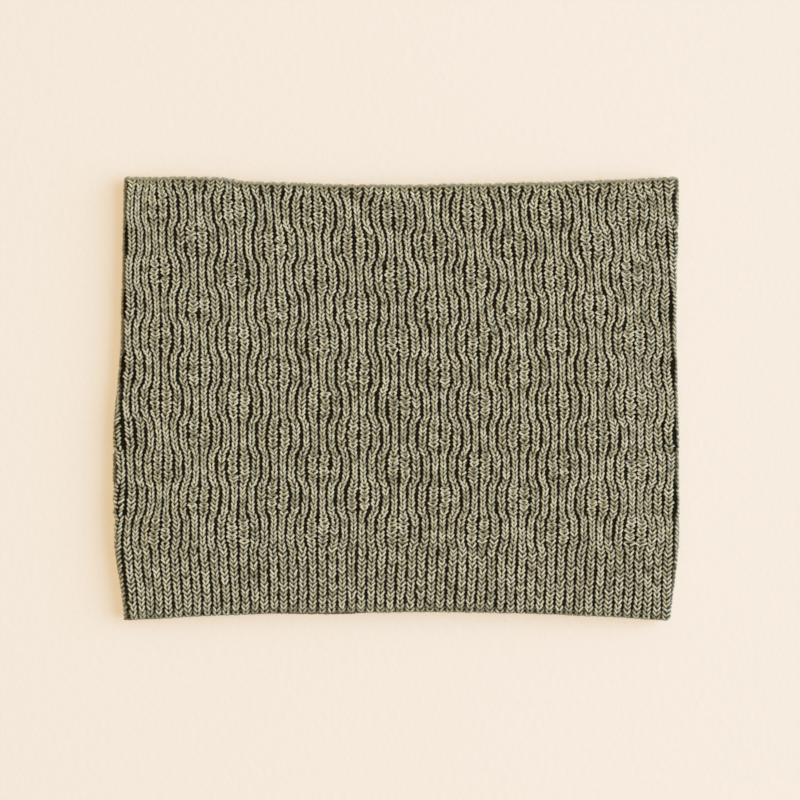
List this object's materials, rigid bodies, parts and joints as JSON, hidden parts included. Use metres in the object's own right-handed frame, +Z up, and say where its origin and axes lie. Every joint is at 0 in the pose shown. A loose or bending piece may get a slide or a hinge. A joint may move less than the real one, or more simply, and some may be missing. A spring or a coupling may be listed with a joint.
{
  "type": "neck gaiter",
  "caption": "Tubular ribbed-knit neck gaiter lying flat, open at both ends, with a wavy textured rib body, a plain rib hem and a bound-off top edge.",
  "frame": {"origin": "under the middle of the flat tube, on the surface it lies on", "axes": "+X across the flat tube from one side fold to the other, +Y along the tube from the cast-on hem to the bound-off edge, +Z up through both layers"},
  "size_m": [0.27, 0.2116, 0.012],
  "materials": {
    "wave_wool": "matte olive-grey wool, wavy textured rib",
    "hem_wool": "matte olive-grey wool, one-by-one rib",
    "edge_wool": "matte olive-grey wool, bound-off chain"
  },
  "bodies": {
    "back_centre": {"back_centre_rib_hem": "hem_wool", "back_centre_wave_rib": "wave_wool", "back_centre_bound_edge": "edge_wool"},
    "back_left_inner": {"back_left_inner_rib_hem": "hem_wool", "back_left_inner_wave_rib": "wave_wool", "back_left_inner_bound_edge": "edge_wool"},
    "back_left_outer": {"back_left_outer_rib_hem": "hem_wool", "back_left_outer_wave_rib": "wave_wool", "back_left_outer_bound_edge": "edge_wool"},
    "back_left_side": {"back_left_side_rib_hem": "hem_wool", "back_left_side_wave_rib": "wave_wool", "back_left_side_bound_edge": "edge_wool", "left_fold_rib_hem": "hem_wool", "left_fold_wave_rib": "wave_wool", "left_fold_bound_edge": "edge_wool"},
    "front_left_side": {"front_left_side_rib_hem": "hem_wool", "front_left_side_wave_rib": "wave_wool", "front_left_side_bound_edge": "edge_wool"},
    "front_left_outer": {"front_left_outer_rib_hem": "hem_wool", "front_left_outer_wave_rib": "wave_wool", "front_left_outer_bound_edge": "edge_wool"},
    "front_left_inner": {"front_left_inner_rib_hem": "hem_wool", "front_left_inner_wave_rib": "wave_wool", "front_left_inner_bound_edge": "edge_wool"},
    "front_centre_left": {"front_centre_left_rib_hem": "hem_wool", "front_centre_left_wave_rib": "wave_wool", "front_centre_left_bound_edge": "edge_wool"},
    "back_right_inner": {"back_right_inner_rib_hem": "hem_wool", "back_right_inner_wave_rib": "wave_wool", "back_right_inner_bound_edge": "edge_wool"},
    "back_right_outer": {"back_right_outer_rib_hem": "hem_wool", "back_right_outer_wave_rib": "wave_wool", "back_right_outer_bound_edge": "edge_wool"},
    "back_right_side": {"back_right_side_rib_hem": "hem_wool", "back_right_side_wave_rib": "wave_wool", "back_right_side_bound_edge": "edge_wool", "right_fold_rib_hem": "hem_wool", "right_fold_wave_rib": "wave_wool", "right_fold_bound_edge": "edge_wool"},
    "front_right_side": {"front_right_side_rib_hem": "hem_wool", "front_right_side_wave_rib": "wave_wool", "front_right_side_bound_edge": "edge_wool"},
    "front_right_outer": {"front_right_outer_rib_hem": "hem_wool", "front_right_outer_wave_rib": "wave_wool", "front_right_outer_bound_edge": "edge_wool"},
    "front_right_inner": {"front_right_inner_rib_hem": "hem_wool", "front_right_inner_wave_rib": "wave_wool", "front_right_inner_bound_edge": "edge_wool"},
    "front_centre_right": {"front_centre_right_rib_hem": "hem_wool", "front_centre_right_wave_rib": "wave_wool", "front_centre_right_bound_edge": "edge_wool"}
  },
  "joints": [
    {"name": "left_back_inner_bend", "type": "hinge", "parent": "back_centre", "child": "back_left_inner", "pos_m": [-0.01919, 0, 0.0037], "axis": [0, 1, 0], "range_deg": [0, 25.71]},
    {"name": "left_back_outer_bend", "type": "hinge", "parent": "back_left_inner", "child": "back_left_outer", "pos_m": [-0.05755, 0, 0.0037], "axis": [0, 1, 0], "range_deg": [0, 25.71]},
    {"name": "left_back_side_bend", "type": "hinge", "parent": "back_left_outer", "child": "back_left_side", "pos_m": [-0.09592, 0, 0.0037], "axis": [0, 1, 0], "range_deg": [0, 25.71]},
    {"name": "left_side_fold", "type": "hinge", "parent": "back_left_side", "child": "front_left_side", "pos_m": [-0.13115, 0, 0.006], "axis": [0, -1, 0], "range_deg": [0, 154.28], "deforming": ["left_fold_rib_hem", "left_fold_wave_rib", "left_fold_bound_edge"]},
    {"name": "left_front_side_bend", "type": "hinge", "parent": "front_left_side", "child": "front_left_outer", "pos_m": [-0.09592, 0, 0.0083], "axis": [0, 1, 0], "range_deg": [0, 25.71]},
    {"name": "left_front_outer_bend", "type": "hinge", "parent": "front_left_outer", "child": "front_left_inner", "pos_m": [-0.05755, 0, 0.0083], "axis": [0, 1, 0], "range_deg": [0, 25.71]},
    {"name": "left_front_inner_bend", "type": "hinge", "parent": "front_left_inner", "child": "front_centre_left", "pos_m": [-0.01919, 0, 0.0083], "axis": [0, 1, 0], "range_deg": [0, 25.71]},
    {"name": "right_back_inner_bend", "type": "hinge", "parent": "back_centre", "child": "back_right_inner", "pos_m": [0.01919, 0, 0.0037], "axis": [0, -1, 0], "range_deg": [0, 25.71]},
    {"name": "right_back_outer_bend", "type": "hinge", "parent": "back_right_inner", "child": "back_right_outer", "pos_m": [0.05755, 0, 0.0037], "axis": [0, -1, 0], "range_deg": [0, 25.71]},
    {"name": "right_back_side_bend", "type": "hinge", "parent": "back_right_outer", "child": "back_right_side", "pos_m": [0.09592, 0, 0.0037], "axis": [0, -1, 0], "range_deg": [0, 25.71]},
    {"name": "right_side_fold", "type": "hinge", "parent": "back_right_side", "child": "front_right_side", "pos_m": [0.13115, 0, 0.006], "axis": [0, 1, 0], "range_deg": [0, 154.28], "deforming": ["right_fold_rib_hem", "right_fold_wave_rib", "right_fold_bound_edge"]},
    {"name": "right_front_side_bend", "type": "hinge", "parent": "front_right_side", "child": "front_right_outer", "pos_m": [0.09592, 0, 0.0083], "axis": [0, -1, 0], "range_deg": [0, 25.71]},
    {"name": "right_front_outer_bend", "type": "hinge", "parent": "front_right_outer", "child": "front_right_inner", "pos_m": [0.05755, 0, 0.0083], "axis": [0, -1, 0], "range_deg": [0, 25.71]},
    {"name": "right_front_inner_bend", "type": "hinge", "parent": "front_right_inner", "child": "front_centre_right", "pos_m": [0.01919, 0, 0.0083], "axis": [0, -1, 0], "range_deg": [0, 25.71]}
  ],
  "couplings": [
    {"joint": "left_back_outer_bend", "follows": "left_back_inner_bend", "ratio": 1},
    {"joint": "left_back_side_bend", "follows": "left_back_inner_bend", "ratio": 1},
    {"joint": "left_side_fold", "follows": "left_back_inner_bend", "ratio": 6},
    {"joint": "left_front_side_bend", "follows": "left_back_inner_bend", "ratio": 1},
    {"joint": "left_front_outer_bend", "follows": "left_back_inner_bend", "ratio": 1},
    {"joint": "left_front_inner_bend", "follows": "left_back_inner_bend", "ratio": 1},
    {"joint": "right_back_inner_bend", "follows": "left_back_inner_bend", "ratio": 1},
    {"joint": "right_back_outer_bend", "follows": "left_back_inner_bend", "ratio": 1},
    {"joint": "right_back_side_bend", "follows": "left_back_inner_bend", "ratio": 1},
    {"joint": "right_side_fold", "follows": "left_back_inner_bend", "ratio": 6},
    {"joint": "right_front_side_bend", "follows": "left_back_inner_bend", "ratio": 1},
    {"joint": "right_front_outer_bend", "follows": "left_back_inner_bend", "ratio": 1},
    {"joint": "right_front_inner_bend", "follows": "left_back_inner_bend", "ratio": 1}
  ]
}
